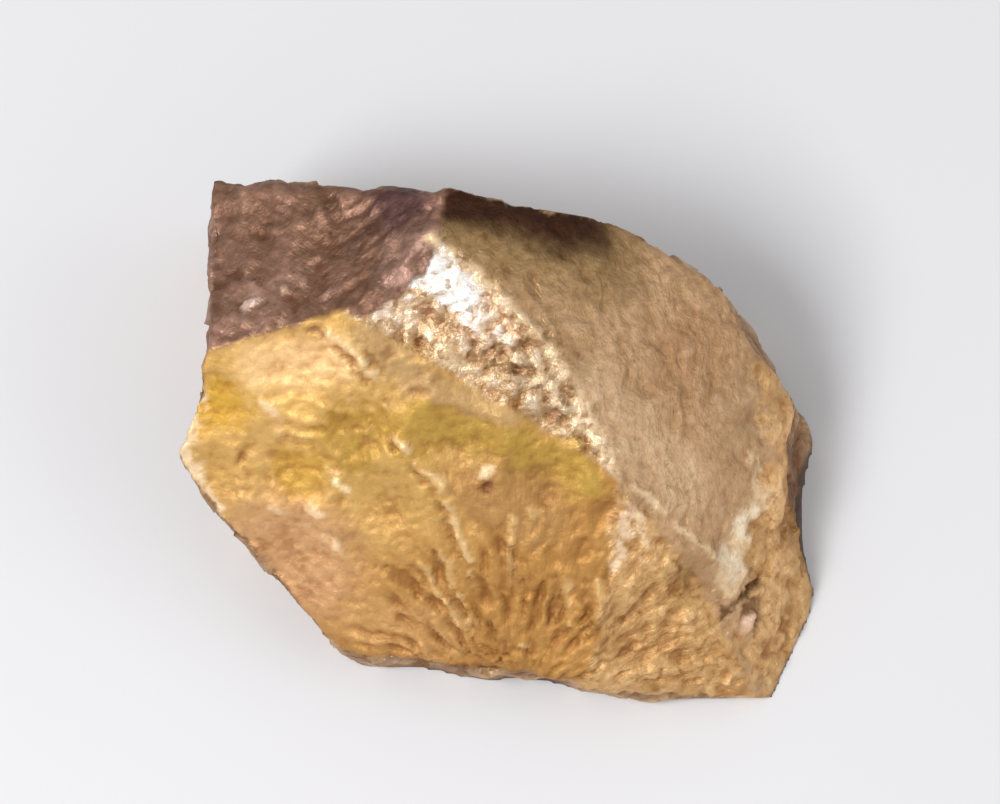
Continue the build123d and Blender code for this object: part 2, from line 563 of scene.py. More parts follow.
class Skin(NamedTuple):
    """What a finish gives at each point of the mesh, in the order of the marks."""

    relief: Signal  # how far the point moves outwards
    colour: Signal
    flow: Signal  # place in the pattern of fine lines
    depths: Value  # heights of the fine lines, grains and crystals
    tones: Value  # how much these three change the colour
    gloss: Value  # roughness and share of metal


@dataclass(frozen=True)
class Spot:
    """A spot or streak of another colour with a ragged rim."""

    middle: Triple
    radius: float
    colour: Colour
    strength: float = 0.8
    rise: float = 0.0  # how far it stands out
    end: Triple | None = None  # the other end, if it is a streak

    @classmethod
    def chain(
        cls, course: tuple[Triple, ...], radius: float, colour: Colour, strength: float, rise: float = 0.0
    ) -> tuple["Spot", ...]:
        """A streak from each point of a course to the next."""
        stretches = zip(course, course[1:])
        return tuple(cls(start, radius, colour, strength, rise, end) for start, end in stretches)

    def share(self, graph: Graph, grain: Grain) -> Signal:
        """How much of each place it covers.

        Args:
            graph: the tree that it is added to.
            grain: the shared textures.

        Returns:
            A value from 0 to the spot's strength.
        """
        away = graph.away(grain.bent, self.middle, self.end)
        narrow = self.end and self.radius < 1.3
        away = away + (grain.ragged * 0.5 + grain.fine) * (0.9 if narrow else 0.4) * min(self.radius, 3.5)
        return away.rise(self.radius * 1.25, self.radius * 0.5) * self.strength


@dataclass(frozen=True)
class Finish:
    """The finish of one kind of face. Each kind has a class of its own."""

    kind: Kind
    middle: Colour
    other: Colour  # in the clouds
    # lift: painted light on crests and raised relief, and pale grain
    lift: Triple = PALE  # what a crest makes of the colour
    contrast: float = 0.6
    depths: Triple = (0.05, 0.06, 0.08)
    tones: Triple = (0.3, 0.5, 0.1)
    gloss: tuple[float, float] = (0.48, 0.8)
    rim: float = 0.4  # how ragged its rim is
    past: float = 0.0  # how far it runs on past the rims of its faces
    patches: tuple[Spot, ...] = ()  # broad, below the shades of the relief
    spots: tuple[Spot, ...] = ()  # small, over them

    def flow(self, graph: Graph, place: Signal) -> Signal:
        """The place in the pattern that the fine lines follow, in widths and lengths of a line."""
        return place

    def run_on(self, grain: Grain) -> Number:
        """How far the finish runs on past the rims of its faces."""
        return self.past

    def relief(self, graph: Graph, grain: Grain) -> Signal:
        """The relief that is cut into the mesh: how far the face stands out."""
        raise NotImplementedError

    def base(self, graph: Graph, grain: Grain) -> Signal:
        """The colour before patches, shades and spots are laid on it."""
        return graph.mix(grain.clouds.rise(-0.7, 0.7), self.middle, self.other)

    def lay(self, graph: Graph, grain: Grain) -> Skin:
        """Lays the finish.

        Args:
            graph: the tree that it is added to.
            grain: the shared textures.

        Returns:
            The skin that it makes.
        """
        relief = self.relief(graph, grain)
        colour = self.base(graph, grain)
        for patch in self.patches:
            colour = graph.mix(patch.share(graph, grain), colour, patch.colour)
        # painted light and shade: paler on raised relief, darker in low relief and in the solid's hollows;
        # the ragged and fine noise add random tone
        tone = relief * RELIEF_SHADING + grain.sunk * SUNK_SHADE + grain.ragged * RAGGED_TONE
        tone = tone + grain.fine * FINE_TONE + BASE_TONE
        deep = graph.vector("MULTIPLY", colour, DEEP)
        pale = graph.vector("MULTIPLY", colour, self.lift)
        colour = graph.mix(tone.rise(0.0, -FULL_TONE) * self.contrast, colour, deep)
        colour = graph.mix(tone.rise(0.0, FULL_TONE) * self.contrast, colour, pale)
        for spot in self.spots:
            share = spot.share(graph, grain)
            colour = graph.mix(share, colour, spot.colour)
            relief = relief + share * spot.rise
        gloss = (*self.gloss, 0.0)
        return Skin(relief, colour, self.flow(graph, grain.place), self.depths, self.tones, gloss)

    def work(self, piece: bpy.types.Object) -> None:
        """Lays the finish over those that the mesh has.

        Args:
            piece: the object whose mesh has the shared textures.
        """
        graph = WorkGraph(self.kind.value)
        place = graph.place()
        marks = (Mark.BENT, Mark.CLOUDS, Mark.RAGGED, Mark.FINE, Mark.SUNK)
        textures = (graph.kept(mark) for mark in marks)
        right, _, high = graph.parts(place)
        grain = Grain(place, *textures, high, right)
        inside = graph.inside(self.kind)
        share = (inside + self.run_on(grain) + grain.ragged * self.rim + grain.fine * 0.25).rise(-0.5, 0.1)
        skin = dict(zip(Mark, self.lay(graph, grain)))
        laid = {Mark.RELIEF: graph.kept(Mark.RELIEF) + skin[Mark.RELIEF] * inside.rise(0.0, 1.2)}
        mixings = {Mark.COLOUR: Mixing.COLOUR}
        for mark in (Mark.COLOUR, Mark.FLOW, Mark.DEPTHS, Mark.TONES, Mark.GLOSS):
            laid[mark] = graph.mix(share, graph.kept(mark), skin[mark], mixings.get(mark, Mixing.VECTOR))
        graph.keep(laid)
        graph.work(piece)

    @staticmethod
    def fan(graph: Graph, place: Signal, width: float, length: float) -> Signal:
        """The pattern of lines that spread upwards from a point below the fan face.

        Args:
            graph: the tree that it is added to.
            place: where it is read.
            width: the width of a line.
            length: how long a line runs on.

        Returns:
            A place in the pattern, in widths and lengths of a line.
        """
        offset = graph.vector("SUBTRACT", place, tuple(FAN_FOCUS))
        across = graph.along(offset, FAN_FACE.level())
        radius = graph.vector("LENGTH", offset, output="Value")
        turned = across.angle(graph.along(offset, FAN_FACE.upward()))
        return graph.bundle(turned * (FAN_RADIUS / width), radius * (1 / length))

    @staticmethod
    def pits(graph: Graph, place: Signal, size: float, share: float) -> Signal:
        """Small round pits in a share of the cells of a size: 1 in a pit and 0 outside."""
        cells = graph.crystals(place, size)
        return cells.middle.rise(0.42, 0.16) * cells.pick.rise(1 - share, 1 - share + 0.02)


FAN_FOCUS = Vector((1.3, -29.5, 5.0))
FAN_RADIUS = 18.0  # where the lines have their own width
FEATHER_FOOT = Vector((-17.0, 2.0, 31.0))
RIPPLE_MIDDLE = (-18.6, -11.2, 19.7)
RIPPLE_WIDTH = 1.75
STRAND_MIDDLE = (-27.4, -34.0, 42.9)  # the strands of the tan face are parts of rings round it
CREST_WAY = Vector((0.53, -0.66, -0.53))  # down along the crest
TAN_TOP_EDGE = ((-4.5, 10.6, 34.6), (7.5, 9.6, 29.0))

AMBER = (0.86, 0.55, 0.25)
GOLD = (0.40, 0.185, 0.040)
YELLOW = (0.63, 0.355, 0.038)
OLIVE = (0.46, 0.27, 0.045)
CREAM = (0.86, 0.63, 0.38)
PEACH = (0.57, 0.31, 0.145)
SAND = (0.51, 0.31, 0.125)
OCHRE = (0.34, 0.15, 0.035)
RUST = (0.34, 0.14, 0.055)
WARM_WHITE = (1.0, 0.93, 0.85)
STRAW = (0.70, 0.44, 0.18)
WHEAT = (0.78, 0.54, 0.27)
PALE_STRAW = (0.84, 0.61, 0.34)
IVORY = (1.0, 0.84, 0.60)
BUFF = (0.88, 0.66, 0.42)
ROSE_BROWN = (0.42, 0.25, 0.18)
# painted shadow that a neighbouring lump casts along the top edge of the tan face
PAINTED_SHADOW = (0.05, 0.017, 0.007)


@dataclass(frozen=True)
class Seam:
    """A pale ridge line with a groove beside it, whose dark colour is painted shadow."""

    course: tuple[Triple, ...]
    width: float
    colour: Colour = STRAW
    # the groove's dark streak is painted shadow of the ridge
    groove: Triple = (-0.75, -0.2, -0.1)  # the way from the ridge to the groove
    strength: float = 0.75
    height: float = 0.35  # of the ridge over the face, and depth of the groove

    def spots(self) -> tuple[Spot, ...]:
        """The streaks that it is laid with: first the groove's, painted dark as shadow, then the ridge's.
        """
        beside = tuple(tuple(Vector(point) + Vector(self.groove)) for point in self.course)
        # the groove's streaks are painted shadow beside the ridge
        shadowed_grooves = Spot.chain(beside, self.width, OCHRE, self.strength, -self.height)
        ridges = Spot.chain(self.course, self.width * 0.85, self.colour, self.strength, self.height)
        return shadowed_grooves + ridges


@dataclass(frozen=True)
class GoldenFinish(Finish):
    """Yellow metal with rows of ripples above and a fan of splinter lines below."""

    kind: Kind = Kind.GOLDEN
    middle: Colour = (0.63, 0.375, 0.115)
    other: Colour = (0.55, 0.315, 0.085)
    lift: Triple = (1.22, 1.30, 1.50)
    contrast: float = 0.65
    tones: Triple = (0.20, 0.35, 0.06)
    depths: Triple = (0.03, 0.04, 0.03)
    gloss: tuple[float, float] = (0.57, 0.45)
    patches: tuple[Spot, ...] = (
        Spot((-20.3, -17.6, 12.5), 8.0, PEACH, 0.85),
        Spot((-20.5, -5.0, 26.0), 4.5, (0.70, 0.425, 0.125), 0.8),
        Spot((-21.8, -3.6, 27.0), 2.8, AMBER, 0.8, end=(-15.3, -3.1, 28.5)),
        Spot((-26.5, -6.1, 23.4), 3.2, YELLOW, 0.9),
        Spot((-18.8, -11.5, 19.7), 3.0, (0.62, 0.36, 0.055), 0.85),
        Spot((-14.4, -8.6, 23.2), 3.4, (0.46, 0.255, 0.035), 0.85, end=(-9.0, -9.6, 23.2)),
        Spot((-12.5, -11.0, 21.3), 3.6, (0.55, 0.325, 0.09), 0.8, end=(-7.6, -13.5, 19.7)),
        Spot((-13.2, -10.6, 21.8), 2.4, (0.46, 0.26, 0.04), 0.8),
        Spot((-6.2, -8.6, 24.5), 3.0, (0.52, 0.30, 0.075), 0.8),
        *Spot.chain(((-7.0, -8.0, 25.2), (1.0, -10.4, 23.2), (7.0, -12.6, 21.6)), 2.8, OLIVE, 0.9),
        Spot((4.6, -11.4, 22.8), 1.6, (0.50, 0.30, 0.055), 0.85, end=(8.0, -13.0, 21.3)),
        Spot((-1.5, -13.4, 20.3), 3.8, (0.40, 0.205, 0.06), 0.85, end=(3.0, -15.0, 19.0)),
        Spot((-12.2, -22.1, 9.5), 3.4, (0.54, 0.29, 0.10), 0.7, end=(-5.8, -23.6, 8.5)),
        Spot((-12.0, -2.0, 30.0), 1.9, SAND, 0.95, end=(-8.0, -5.4, 27.4)),
        Spot((-8.0, -5.4, 27.4), 1.4, SAND, 0.9, end=(1.0, -7.8, 25.6)),
    )
    spots: tuple[Spot, ...] = (
        # the pale rim on the left, a painted highlight where light from the left catches the edge
        Spot((-28.5, -4.6, 23.6), 1.0, CREAM, 0.95, end=(-29.8, -9.4, 19.3)),
        Spot((-29.8, -9.4, 19.0), 1.0, CREAM, 0.95, end=(-27.0, -14.0, 15.2)),
        Spot((-27.0, -14.0, 15.2), 0.8, CREAM, 0.7, end=(-19.2, -22.3, 8.4)),
        # a chain of raised shells, painted pale as their highlights
        Spot((-22.3, -6.0, 24.5), 0.5, CREAM, 0.7, 0.2, end=(-21.4, -6.8, 23.8)),
        Spot((-20.9, -7.7, 23.0), 0.6, STRAW, 0.9, 0.2, end=(-19.4, -9.6, 21.4)),
        Spot((-19.0, -9.7, 21.3), 0.55, CREAM, 0.7, 0.25, end=(-18.2, -10.3, 20.8)),
        Spot((-17.2, -11.0, 20.4), 0.5, STRAW, 0.9, 0.25, end=(-15.6, -12.0, 19.6)),
        Spot((-15.3, -12.1, 19.4), 0.5, (0.96, 0.72, 0.40), 0.9, 0.25, end=(-14.2, -13.0, 18.7)),
        Spot((-13.9, -13.4, 18.5), 0.5, STRAW, 0.9, 0.25, end=(-12.2, -14.6, 17.6)),
        Spot((-21.5, -13.8, 16.4), 0.45, CREAM, 0.7, 0.2, end=(-20.6, -14.3, 16.2)),
        Spot((-18.0, -13.8, 17.1), 0.5, CREAM, 0.75, 0.2, end=(-17.0, -14.5, 16.6)),
        Spot((-18.2, -15.3, 15.7), 0.5, CREAM, 0.7, 0.2),
        Spot((-16.8, -15.9, 15.2), 0.5, CREAM, 0.8, 0.25, end=(-15.0, -17.4, 14.1)),
        Spot((-14.8, -17.8, 13.8), 0.5, STRAW, 0.8, 0.25, end=(-13.5, -18.8, 12.9)),
        # hollows, painted dark as their shade
        Spot((-24.0, -9.9, 20.0), 0.8, OCHRE, 0.7, -0.3),
        Spot((-25.0, -7.0, 22.8), 0.6, OCHRE, 0.6, -0.25),
        Spot((-14.0, -8.8, 23.2), 0.6, OCHRE, 0.5, -0.35, end=(-11.8, -9.6, 22.4)),
        Spot((-22.5, -16.7, 13.2), 0.9, RUST, 0.5, -0.3),
        Spot((-7.5, -6.2, 26.7), 0.8, OCHRE, 0.6, -0.3),
        Spot((-12.6, -3.2, 29.0), 0.5, OCHRE, 0.7, -0.3, end=(-11.8, -3.8, 28.5)),
        Spot((-10.5, -6.8, 25.9), 0.5, OCHRE, 0.7, -0.3),
        Spot((-24.6, -9.6, 20.2), 0.5, OCHRE, 0.7, -0.3, end=(-23.6, -10.4, 19.6)),
        Spot((4.0, -14.2, 20.0), 0.7, OCHRE, 0.8, -0.35),
        Spot((3.0, -15.4, 18.9), 0.7, STRAW, 0.7, 0.25),
        Spot((10.2, -15.1, 19.6), 1.1, OCHRE, 0.85, -0.5),
        # grooves of the fan, painted dark with shadow, and the ridges between them
        Spot((-10.2, -18.8, 13.5), 0.8, OCHRE, 0.85, -0.4, end=(-7.0, -21.4, 11.5)),
        *Seam(((-7.6, -18.6, 14.4), (-5.2, -21.4, 11.8), (-3.6, -23.9, 9.6)), 0.5).spots(),
        *Seam(((-5.6, -17.6, 15.6), (-3.9, -21.2, 12.4), (-2.9, -23.6, 10.2)), 0.45).spots(),
        *Seam(((0.8, -15.3, 18.7), (0.9, -17.2, 16.9)), 0.35).spots(),
        *Seam(((0.9, -17.8, 16.3), (1.1, -20.9, 13.3)), 0.35).spots(),
        *Seam(((6.5, -20.2, 14.4), (6.6, -23.4, 11.4)), 0.5, groove=(-1.2, 0.0, 0.0)).spots(),
        *Seam(((9.2, -20.4, 14.2), (9.3, -23.2, 11.9)), 0.5, groove=(-1.2, 0.0, 0.0)).spots(),
        *Seam(((-2.8, -26.0, 7.6), (0.2, -24.2, 10.1)), 0.5, groove=(0.8, -0.5, -0.3)).spots(),
        *Seam(((1.4, -24.6, 9.7), (4.2, -26.6, 8.1)), 0.45, groove=(-0.9, -0.4, -0.2)).spots(),
        # the seam: dashes with a groove to the left, painted dark with shadow
        *Seam(((-15.8, -1.6, 30.3), (-13.2, -3.6, 28.6), (-11.0, -5.3, 27.3)), 0.5, PALE_STRAW).spots(),
        *Seam(
            ((-10.0, -8.2, 24.7), (-9.2, -9.9, 23.1), (-6.8, -12.0, 21.2), (-5.3, -13.2, 20.2)), 0.45, WHEAT
        ).spots(),
        *Seam(((-5.0, -14.2, 19.3), (-3.8, -16.6, 17.1), (-2.8, -18.6, 15.2)), 0.45, WHEAT).spots(),
        Spot((-2.6, -19.4, 14.4), 0.35, STRAW, 0.8, 0.3, end=(-2.6, -22.4, 11.4)),
        Spot((2.2, -20.4, 14.0), 0.5, OCHRE, 0.7, -0.3, end=(2.6, -23.6, 10.9)),
        # pits along the rim of the dusky face
        Spot((-17.6, -1.1, 30.4), 0.5, RUST, 0.9, -0.3),
        Spot((-19.6, -1.0, 30.0), 0.4, RUST, 0.8, -0.25),
        # a pit and the crystal above it
        Spot((-1.5, -12.0, 21.7), 0.45, CREAM, 0.75, 0.3, end=(-0.4, -12.3, 21.6)),
        Spot((-0.9, -13.2, 20.6), 0.7, (0.20, 0.07, 0.02), 0.9, -0.6),
    )

    def flow(self, graph: Graph, place: Signal) -> Signal:
        """The pattern that the fine lines follow."""
        return self.fan(graph, place, 0.6, 4.0)

    def base(self, graph: Graph, grain: Grain) -> Signal:
        """The colour before patches, shades and spots are laid on it."""
        low = (grain.right * 0.6 - grain.high + grain.clouds * 2.0).rise(-28.0, -15.0)
        return graph.mix(low * 0.9, super().base(graph, grain), GOLD)

    def ripples(self, graph: Graph, grain: Grain) -> Signal:
        """Ripples that spread upwards and to the right, as rings.

        Args:
            graph: the tree that they are added to.
            grain: the shared textures.

        Returns:
            A value from 0 to 1 on their crests.
        """
        ring = graph.away(grain.bent, RIPPLE_MIDDLE) + grain.clouds * 0.8
        crests = (ring * (2 * math.pi / RIPPLE_WIDTH)).sine().rise(-0.4, 1.0) * grain.ragged.rise(-0.7, 0.3)
        reach = ring.rise(1.5, 3.0) * ring.rise(12.0, 6.5)
        return crests * grain.high.rise(18.0, 21.0) * reach * grain.right.rise(-23.5, -18.5)

    def relief(self, graph: Graph, grain: Grain) -> Signal:
        """The relief that is cut into the mesh."""
        low = (grain.right - grain.high).rise(-27.0, -17.0) * grain.high.rise(21.0, 16.0)
        lines = graph.ridges(self.fan(graph, grain.bent, 2.4, 7.0)) * low * 0.62
        worms = graph.ridges(graph.scaled(grain.bent, 1 / 2.0)) * (1 - low) * 0.14
        ripples = self.ripples(graph, grain) * (1 - low) * 0.30
        return lines + worms + ripples + grain.ragged * 0.12 + grain.fine * 0.05


@dataclass(frozen=True)
class TarnishedFinish(Finish):
    """Dusky brown metal with a few bright scratches and crystals."""

    kind: Kind = Kind.TARNISHED
    middle: Colour = (0.190, 0.095, 0.055)
    other: Colour = (0.24, 0.125, 0.080)
    lift: Triple = (1.8, 1.9, 2.1)
    contrast: float = 0.85
    depths: Triple = (0.03, 0.05, 0.10)
    tones: Triple = (0.15, 0.4, 0.12)
    gloss: tuple[float, float] = (0.50, 0.6)
    patches: tuple[Spot, ...] = (
        # painted shadow that a neighbouring lump casts on the upper right of the face
        Spot((-9.2, 9.6, 33.6), 3.6, (0.085, 0.036, 0.030), 0.95),
        Spot((-13.8, 6.2, 32.0), 1.6, (0.13, 0.06, 0.035), 0.7, end=(-12.0, 8.0, 32.8)),
        Spot((-22.5, 2.3, 29.0), 3.4, (0.30, 0.165, 0.11), 0.85),
        Spot((-10.0, 3.6, 32.8), 2.2, (0.25, 0.14, 0.10), 0.8, end=(-7.4, 6.4, 34.2)),
    )
    spots: tuple[Spot, ...] = (
        Spot((-23.6, 1.8, 28.7), 0.45, (0.74, 0.55, 0.46), 0.9, 0.2, end=(-22.5, 2.4, 29.0)),
        Spot((-20.2, 3.2, 29.9), 0.5, (0.50, 0.33, 0.25), 0.8, 0.2),
        Spot((-19.6, 4.6, 30.0), 0.4, ROSE_BROWN, 0.8, 0.2, end=(-17.2, 2.6, 30.8)),
        Spot((-16.4, 1.8, 31.0), 0.4, ROSE_BROWN, 0.8, 0.2, end=(-14.4, 4.2, 31.9)),
    )

    def flow(self, graph: Graph, place: Signal) -> Signal:
        """The pattern that the fine lines follow."""
        return self.feather(graph, place, 0.6, 2.5)

    def run_on(self, grain: Grain) -> Number:
        """How far the finish runs on past the rims of its faces. It covers the sparkling face's rim."""
        return grain.right.rise(-15.5, -12.0) * grain.right.rise(-4.8, -7.2) * 2.3

    def feather(self, graph: Graph, place: Signal, width: float, length: float) -> Signal:
        """The pattern of a feather's barbs, which run up and outwards from a shaft.

        Args:
            graph: the tree that it is added to.
            place: where it is read.
            width: the width of a barb.
            length: how long a barb runs on.

        Returns:
            A place in the pattern, in widths and lengths of a barb.
        """
        offset = graph.vector("SUBTRACT", place, tuple(FEATHER_FOOT))
        aside = graph.along(offset, Vector((1, 0, 0))).unsigned()
        upward = graph.along(offset, Vector((0, 1, 0)))
        return graph.bundle((upward - aside * 0.8) * (1 / width), (upward * 0.8 + aside) * (1 / length))

    def relief(self, graph: Graph, grain: Grain) -> Signal:
        """The relief that is cut into the mesh."""
        barbs = graph.ridges(self.feather(graph, grain.bent, 2.3, 7.0))
        return barbs * 0.21 + graph.crystals(grain.place, 3.4).facet * 0.14 + grain.ragged * 0.07


@dataclass(frozen=True)
class SparklingFinish(Finish):
    """Coarse bright crystals with brown pits between them."""

    kind: Kind = Kind.SPARKLING
    middle: Colour = (0.60, 0.39, 0.21)
    other: Colour = (0.50, 0.30, 0.14)
    lift: Triple = (1.55, 1.9, 2.6)
    contrast: float = 0.9
    depths: Triple = (0.0, 0.10, 0.30)
    tones: Triple = (0.0, 0.5, 0.4)
    gloss: tuple[float, float] = (0.38, 0.55)
    patches: tuple[Spot, ...] = (
        Spot((-10.6, -2.0, 30.1), 2.8, SAND, 0.9, end=(-8.4, -4.0, 28.6)),
        Spot((-9.4, -0.4, 31.1), 2.2, (0.80, 0.58, 0.38), 0.8),
        Spot((-3.2, 1.4, 31.8), 2.6, (0.76, 0.56, 0.38), 0.65, end=(-0.8, -1.2, 30.0)),
        Spot((1.2, -3.6, 28.3), 2.8, (0.40, 0.24, 0.11), 0.85, end=(5.0, -7.0, 25.8)),
        Spot((-0.0, -9.7, 23.8), 3.6, OLIVE, 0.9),
        Spot((5.4, -11.4, 22.8), 3.0, OLIVE, 0.8),
    )
    spots: tuple[Spot, ...] = (
        Spot((-5.0, 5.0, 34.0), 1.2, WARM_WHITE, 1.0, 0.1, end=(-7.0, 3.0, 33.0)),
        Spot((-5.3, 3.9, 33.4), 1.8, WARM_WHITE, 1.0, 0.2, end=(-3.4, 1.8, 32.0)),
        Spot((-5.8, 1.8, 32.2), 0.9, WARM_WHITE, 0.9, 0.2, end=(-3.5, 0.8, 31.4)),
        Spot((-5.2, -3.0, 29.2), 1.0, CREAM, 0.8, 0.2, end=(-2.0, -5.4, 27.3)),
        Spot((-6.8, 0.1, 31.2), 0.8, RUST, 0.9, -0.4),
        Spot((-10.8, -2.2, 30.1), 0.5, OCHRE, 0.7, -0.3),
        Spot((-9.0, -3.6, 28.9), 0.6, OCHRE, 0.6, -0.3),
        Spot((-1.6, 2.6, 32.2), 0.5, RUST, 0.6, -0.3, end=(0.4, 0.6, 30.9)),
        Spot((-0.0, -2.7, 28.8), 0.9, (0.36, 0.19, 0.08), 0.8, -0.4),
        Spot((1.6, -4.4, 27.7), 0.7, (0.26, 0.12, 0.05), 0.85, -0.5),
        Spot((-3.6, -4.6, 28.0), 0.75, (0.30, 0.16, 0.09), 0.85, -0.5),
        Spot((5.0, -7.8, 25.2), 0.7, RUST, 0.8, -0.4),
        # the crest
        Spot((-3.2, 4.2, 33.3), 0.45, (0.74, 0.46, 0.26), 0.9, 0.1, end=(1.6, -1.2, 29.7)),
        Spot((3.4, -3.4, 28.0), 0.5, CREAM, 0.9, 0.2, end=(5.4, -6.6, 26.0)),
        Spot((7.2, -8.0, 24.9), 0.55, CREAM, 0.95, 0.25, end=(9.2, -10.2, 23.4)),
        Spot((10.4, -11.2, 22.4), 0.45, CREAM, 0.9, 0.2, end=(11.6, -12.3, 21.4)),
    )

    def relief(self, graph: Graph, grain: Grain) -> Signal:
        """The relief that is cut into the mesh."""
        facets = graph.crystals(grain.place, 1.7).facet * 0.45
        pits = self.pits(graph, grain.place, 2.4, 0.3) * 0.4
        return facets + grain.ragged * 0.15 + grain.fine * 0.1 - pits


# The edge on the right, which has pale crystals on it, a crack across its foot and a raised bright bead
# with painted shadow round it
RIGHT_EDGE = (
    Spot((25.0, -11.0, 10.6), 1.3, BUFF, 0.7, 0.15, end=(23.0, -14.2, 11.3)),
    Spot((23.0, -14.2, 11.3), 1.5, BUFF, 0.75, 0.15, end=(21.6, -18.6, 10.6)),
    Spot((23.6, -7.8, 13.6), 0.7, CREAM, 0.8, 0.2),
    Spot((24.4, -8.8, 12.6), 0.8, CREAM, 0.7, 0.15, end=(24.5, -11.4, 11.0)),
    Spot((24.3, -12.4, 10.7), 0.9, IVORY, 1.0, 0.3),
    Spot((22.6, -13.8, 11.9), 1.0, IVORY, 1.0, 0.3, end=(23.4, -14.2, 11.0)),
    Spot((22.6, -15.9, 10.9), 1.0, CREAM, 0.9, 0.25),
    Spot((21.4, -17.0, 11.3), 1.2, (0.88, 0.72, 0.52), 0.8, 0.2, end=(22.6, -17.6, 9.8)),
    Spot((21.6, -19.8, 9.6), 0.6, CREAM, 0.95, 0.3, end=(22.8, -18.4, 9.1)),
    Spot((21.1, -21.6, 9.0), 0.6, (0.15, 0.065, 0.02), 0.95, -0.6, end=(24.6, -18.0, 7.3)),
    # painted shadow round the raised bright bead below
    Spot((23.7, -20.9, 6.6), 1.7, (0.15, 0.06, 0.02), 0.85, -0.4),
    Spot((23.3, -21.6, 6.4), 1.0, (0.86, 0.58, 0.40), 1.0, 0.8),
)


@dataclass(frozen=True)
class TanFinish(Finish):
    """Satin metal drawn into fine curved strands."""

    kind: Kind = Kind.TAN
    middle: Colour = (0.56, 0.345, 0.180)
    other: Colour = (0.48, 0.285, 0.140)
    lift: Triple = (1.45, 1.55, 1.75)
    contrast: float = 0.45
    depths: Triple = (0.05, 0.06, 0.06)
    tones: Triple = (0.30, 0.40, 0.10)
    rim: float = 1.4
    patches: tuple[Spot, ...] = (
        Spot((18.2, 0.4, 20.5), 5.5, (0.48, 0.27, 0.13), 0.75),
        Spot((8.3, -5.8, 25.6), 3.5, (0.63, 0.42, 0.24), 0.75, end=(17.2, -11.8, 17.9)),
        Spot((27.8, -14.9, 6.2), 5.0, (0.56, 0.32, 0.14), 0.85),
        Spot((2.2, 1.4, 31.0), 2.0, (0.38, 0.23, 0.11), 0.6, end=(7.2, -4.1, 27.0)),
    )
    spots: tuple[Spot, ...] = (
        Spot((12.5, -13.0, 20.6), 0.4, CREAM, 0.8, 0.2, end=(19.8, -17.2, 12.9)),
        *RIGHT_EDGE,
    )

    def strands(self, graph: Graph, place: Signal, width: float, length: float) -> Signal:
        """The pattern of strands that run along the crest and bend down with it.

        Args:
            graph: the tree that it is added to.
            place: where it is read.
            width: the width of a strand.
            length: how long a strand runs on.

        Returns:
            A place in the pattern, in widths and lengths of a strand.
        """
        ring = graph.away(place, STRAND_MIDDLE) + graph.noise(place, 5.0, 1.0) * 2.2
        along = graph.along(place, CREST_WAY)
        return graph.bundle(ring * (1 / width), along * (1 / length))

    def base(self, graph: Graph, grain: Grain) -> Signal:
        """The colour, darker towards the top: own olive tone with painted shade, then painted shadow at the
        top edge.
        """
        down = graph.away(grain.place, *TAN_TOP_EDGE) + grain.clouds * 1.2 + grain.ragged * 0.4
        # an olive band towards the top, partly the metal's own tone and partly painted shade
        olive_and_shade = graph.mix(down.rise(10.5, 3.0), super().base(graph, grain), (0.32, 0.195, 0.08))
        # painted shadow along the top edge, cast by a neighbouring lump
        return graph.mix(down.rise(4.4, 1.2), olive_and_shade, PAINTED_SHADOW)

    def flow(self, graph: Graph, place: Signal) -> Signal:
        """The pattern that the fine lines follow."""
        return self.strands(graph, place, 1.0, 3.0)

    def relief(self, graph: Graph, grain: Grain) -> Signal:
        """The relief that is cut into the mesh."""
        strands = graph.ridges(self.strands(graph, grain.bent, 2.6, 6.0)) * grain.right.rise(2.0, 9.0)
        rings = graph.ridges(graph.scaled(grain.bent, 1 / 2.4)) * grain.right.rise(12.0, 4.0)
        return (strands + rings) * 0.19 + grain.clouds * 0.10 + grain.ragged * 0.08 + grain.fine * 0.06


@dataclass(frozen=True)
class CornerFinish(Finish):
    """Grainy golden brown metal."""

    kind: Kind = Kind.CORNER
    middle: Colour = (0.60, 0.35, 0.135)
    other: Colour = (0.53, 0.29, 0.105)
    lift: Triple = (1.35, 1.5, 1.8)
    contrast: float = 0.6
    depths: Triple = (0.06, 0.08, 0.15)
    tones: Triple = (0.15, 0.5, 0.2)
    gloss: tuple[float, float] = (0.55, 0.55)
    rim: float = 1.2
    past: float = 1.6
    patches: tuple[Spot, ...] = (
        Spot((28.2, -6.6, 9.0), 6.0, (0.82, 0.49, 0.21), 0.85),
        Spot((26.0, -15.0, 6.0), 5.0, (0.61, 0.35, 0.14), 0.85, end=(25.5, -21.0, 4.0)),
        Spot((28.0, -10.0, 7.0), 1.5, (0.50, 0.275, 0.105), 0.8, end=(27.5, -13.4, 6.2)),
        Spot((17.8, -19.2, 13.2), 2.4, (0.38, 0.20, 0.065), 0.8),
    )
    spots: tuple[Spot, ...] = (
        Spot((12.4, -14.8, 19.6), 0.7, (0.90, 0.66, 0.42), 0.9, 0.3, end=(10.8, -19.2, 15.6)),
        Spot((12.6, -15.2, 19.0), 0.5, CREAM, 0.9, 0.25, end=(13.6, -17.6, 16.6)),
        Spot((15.6, -17.2, 16.0), 0.8, OCHRE, 0.8, -0.3),
        Spot((11.9, -17.6, 17.0), 0.5, OCHRE, 0.8, -0.3),
        Spot((16.5, -20.7, 12.2), 0.8, OCHRE, 0.8, -0.3),
        *RIGHT_EDGE,
    )

    def flow(self, graph: Graph, place: Signal) -> Signal:
        """The pattern that the fine lines follow."""
        return self.fan(graph, place, 0.6, 4.0)

    def relief(self, graph: Graph, grain: Grain) -> Signal:
        """The relief that is cut into the mesh."""
        lines = graph.ridges(self.fan(graph, grain.bent, 2.6, 5.0)) * 0.36
        return lines + graph.crystals(grain.bent, 2.0).facet * 0.28 + grain.ragged * 0.10 + grain.fine * 0.1


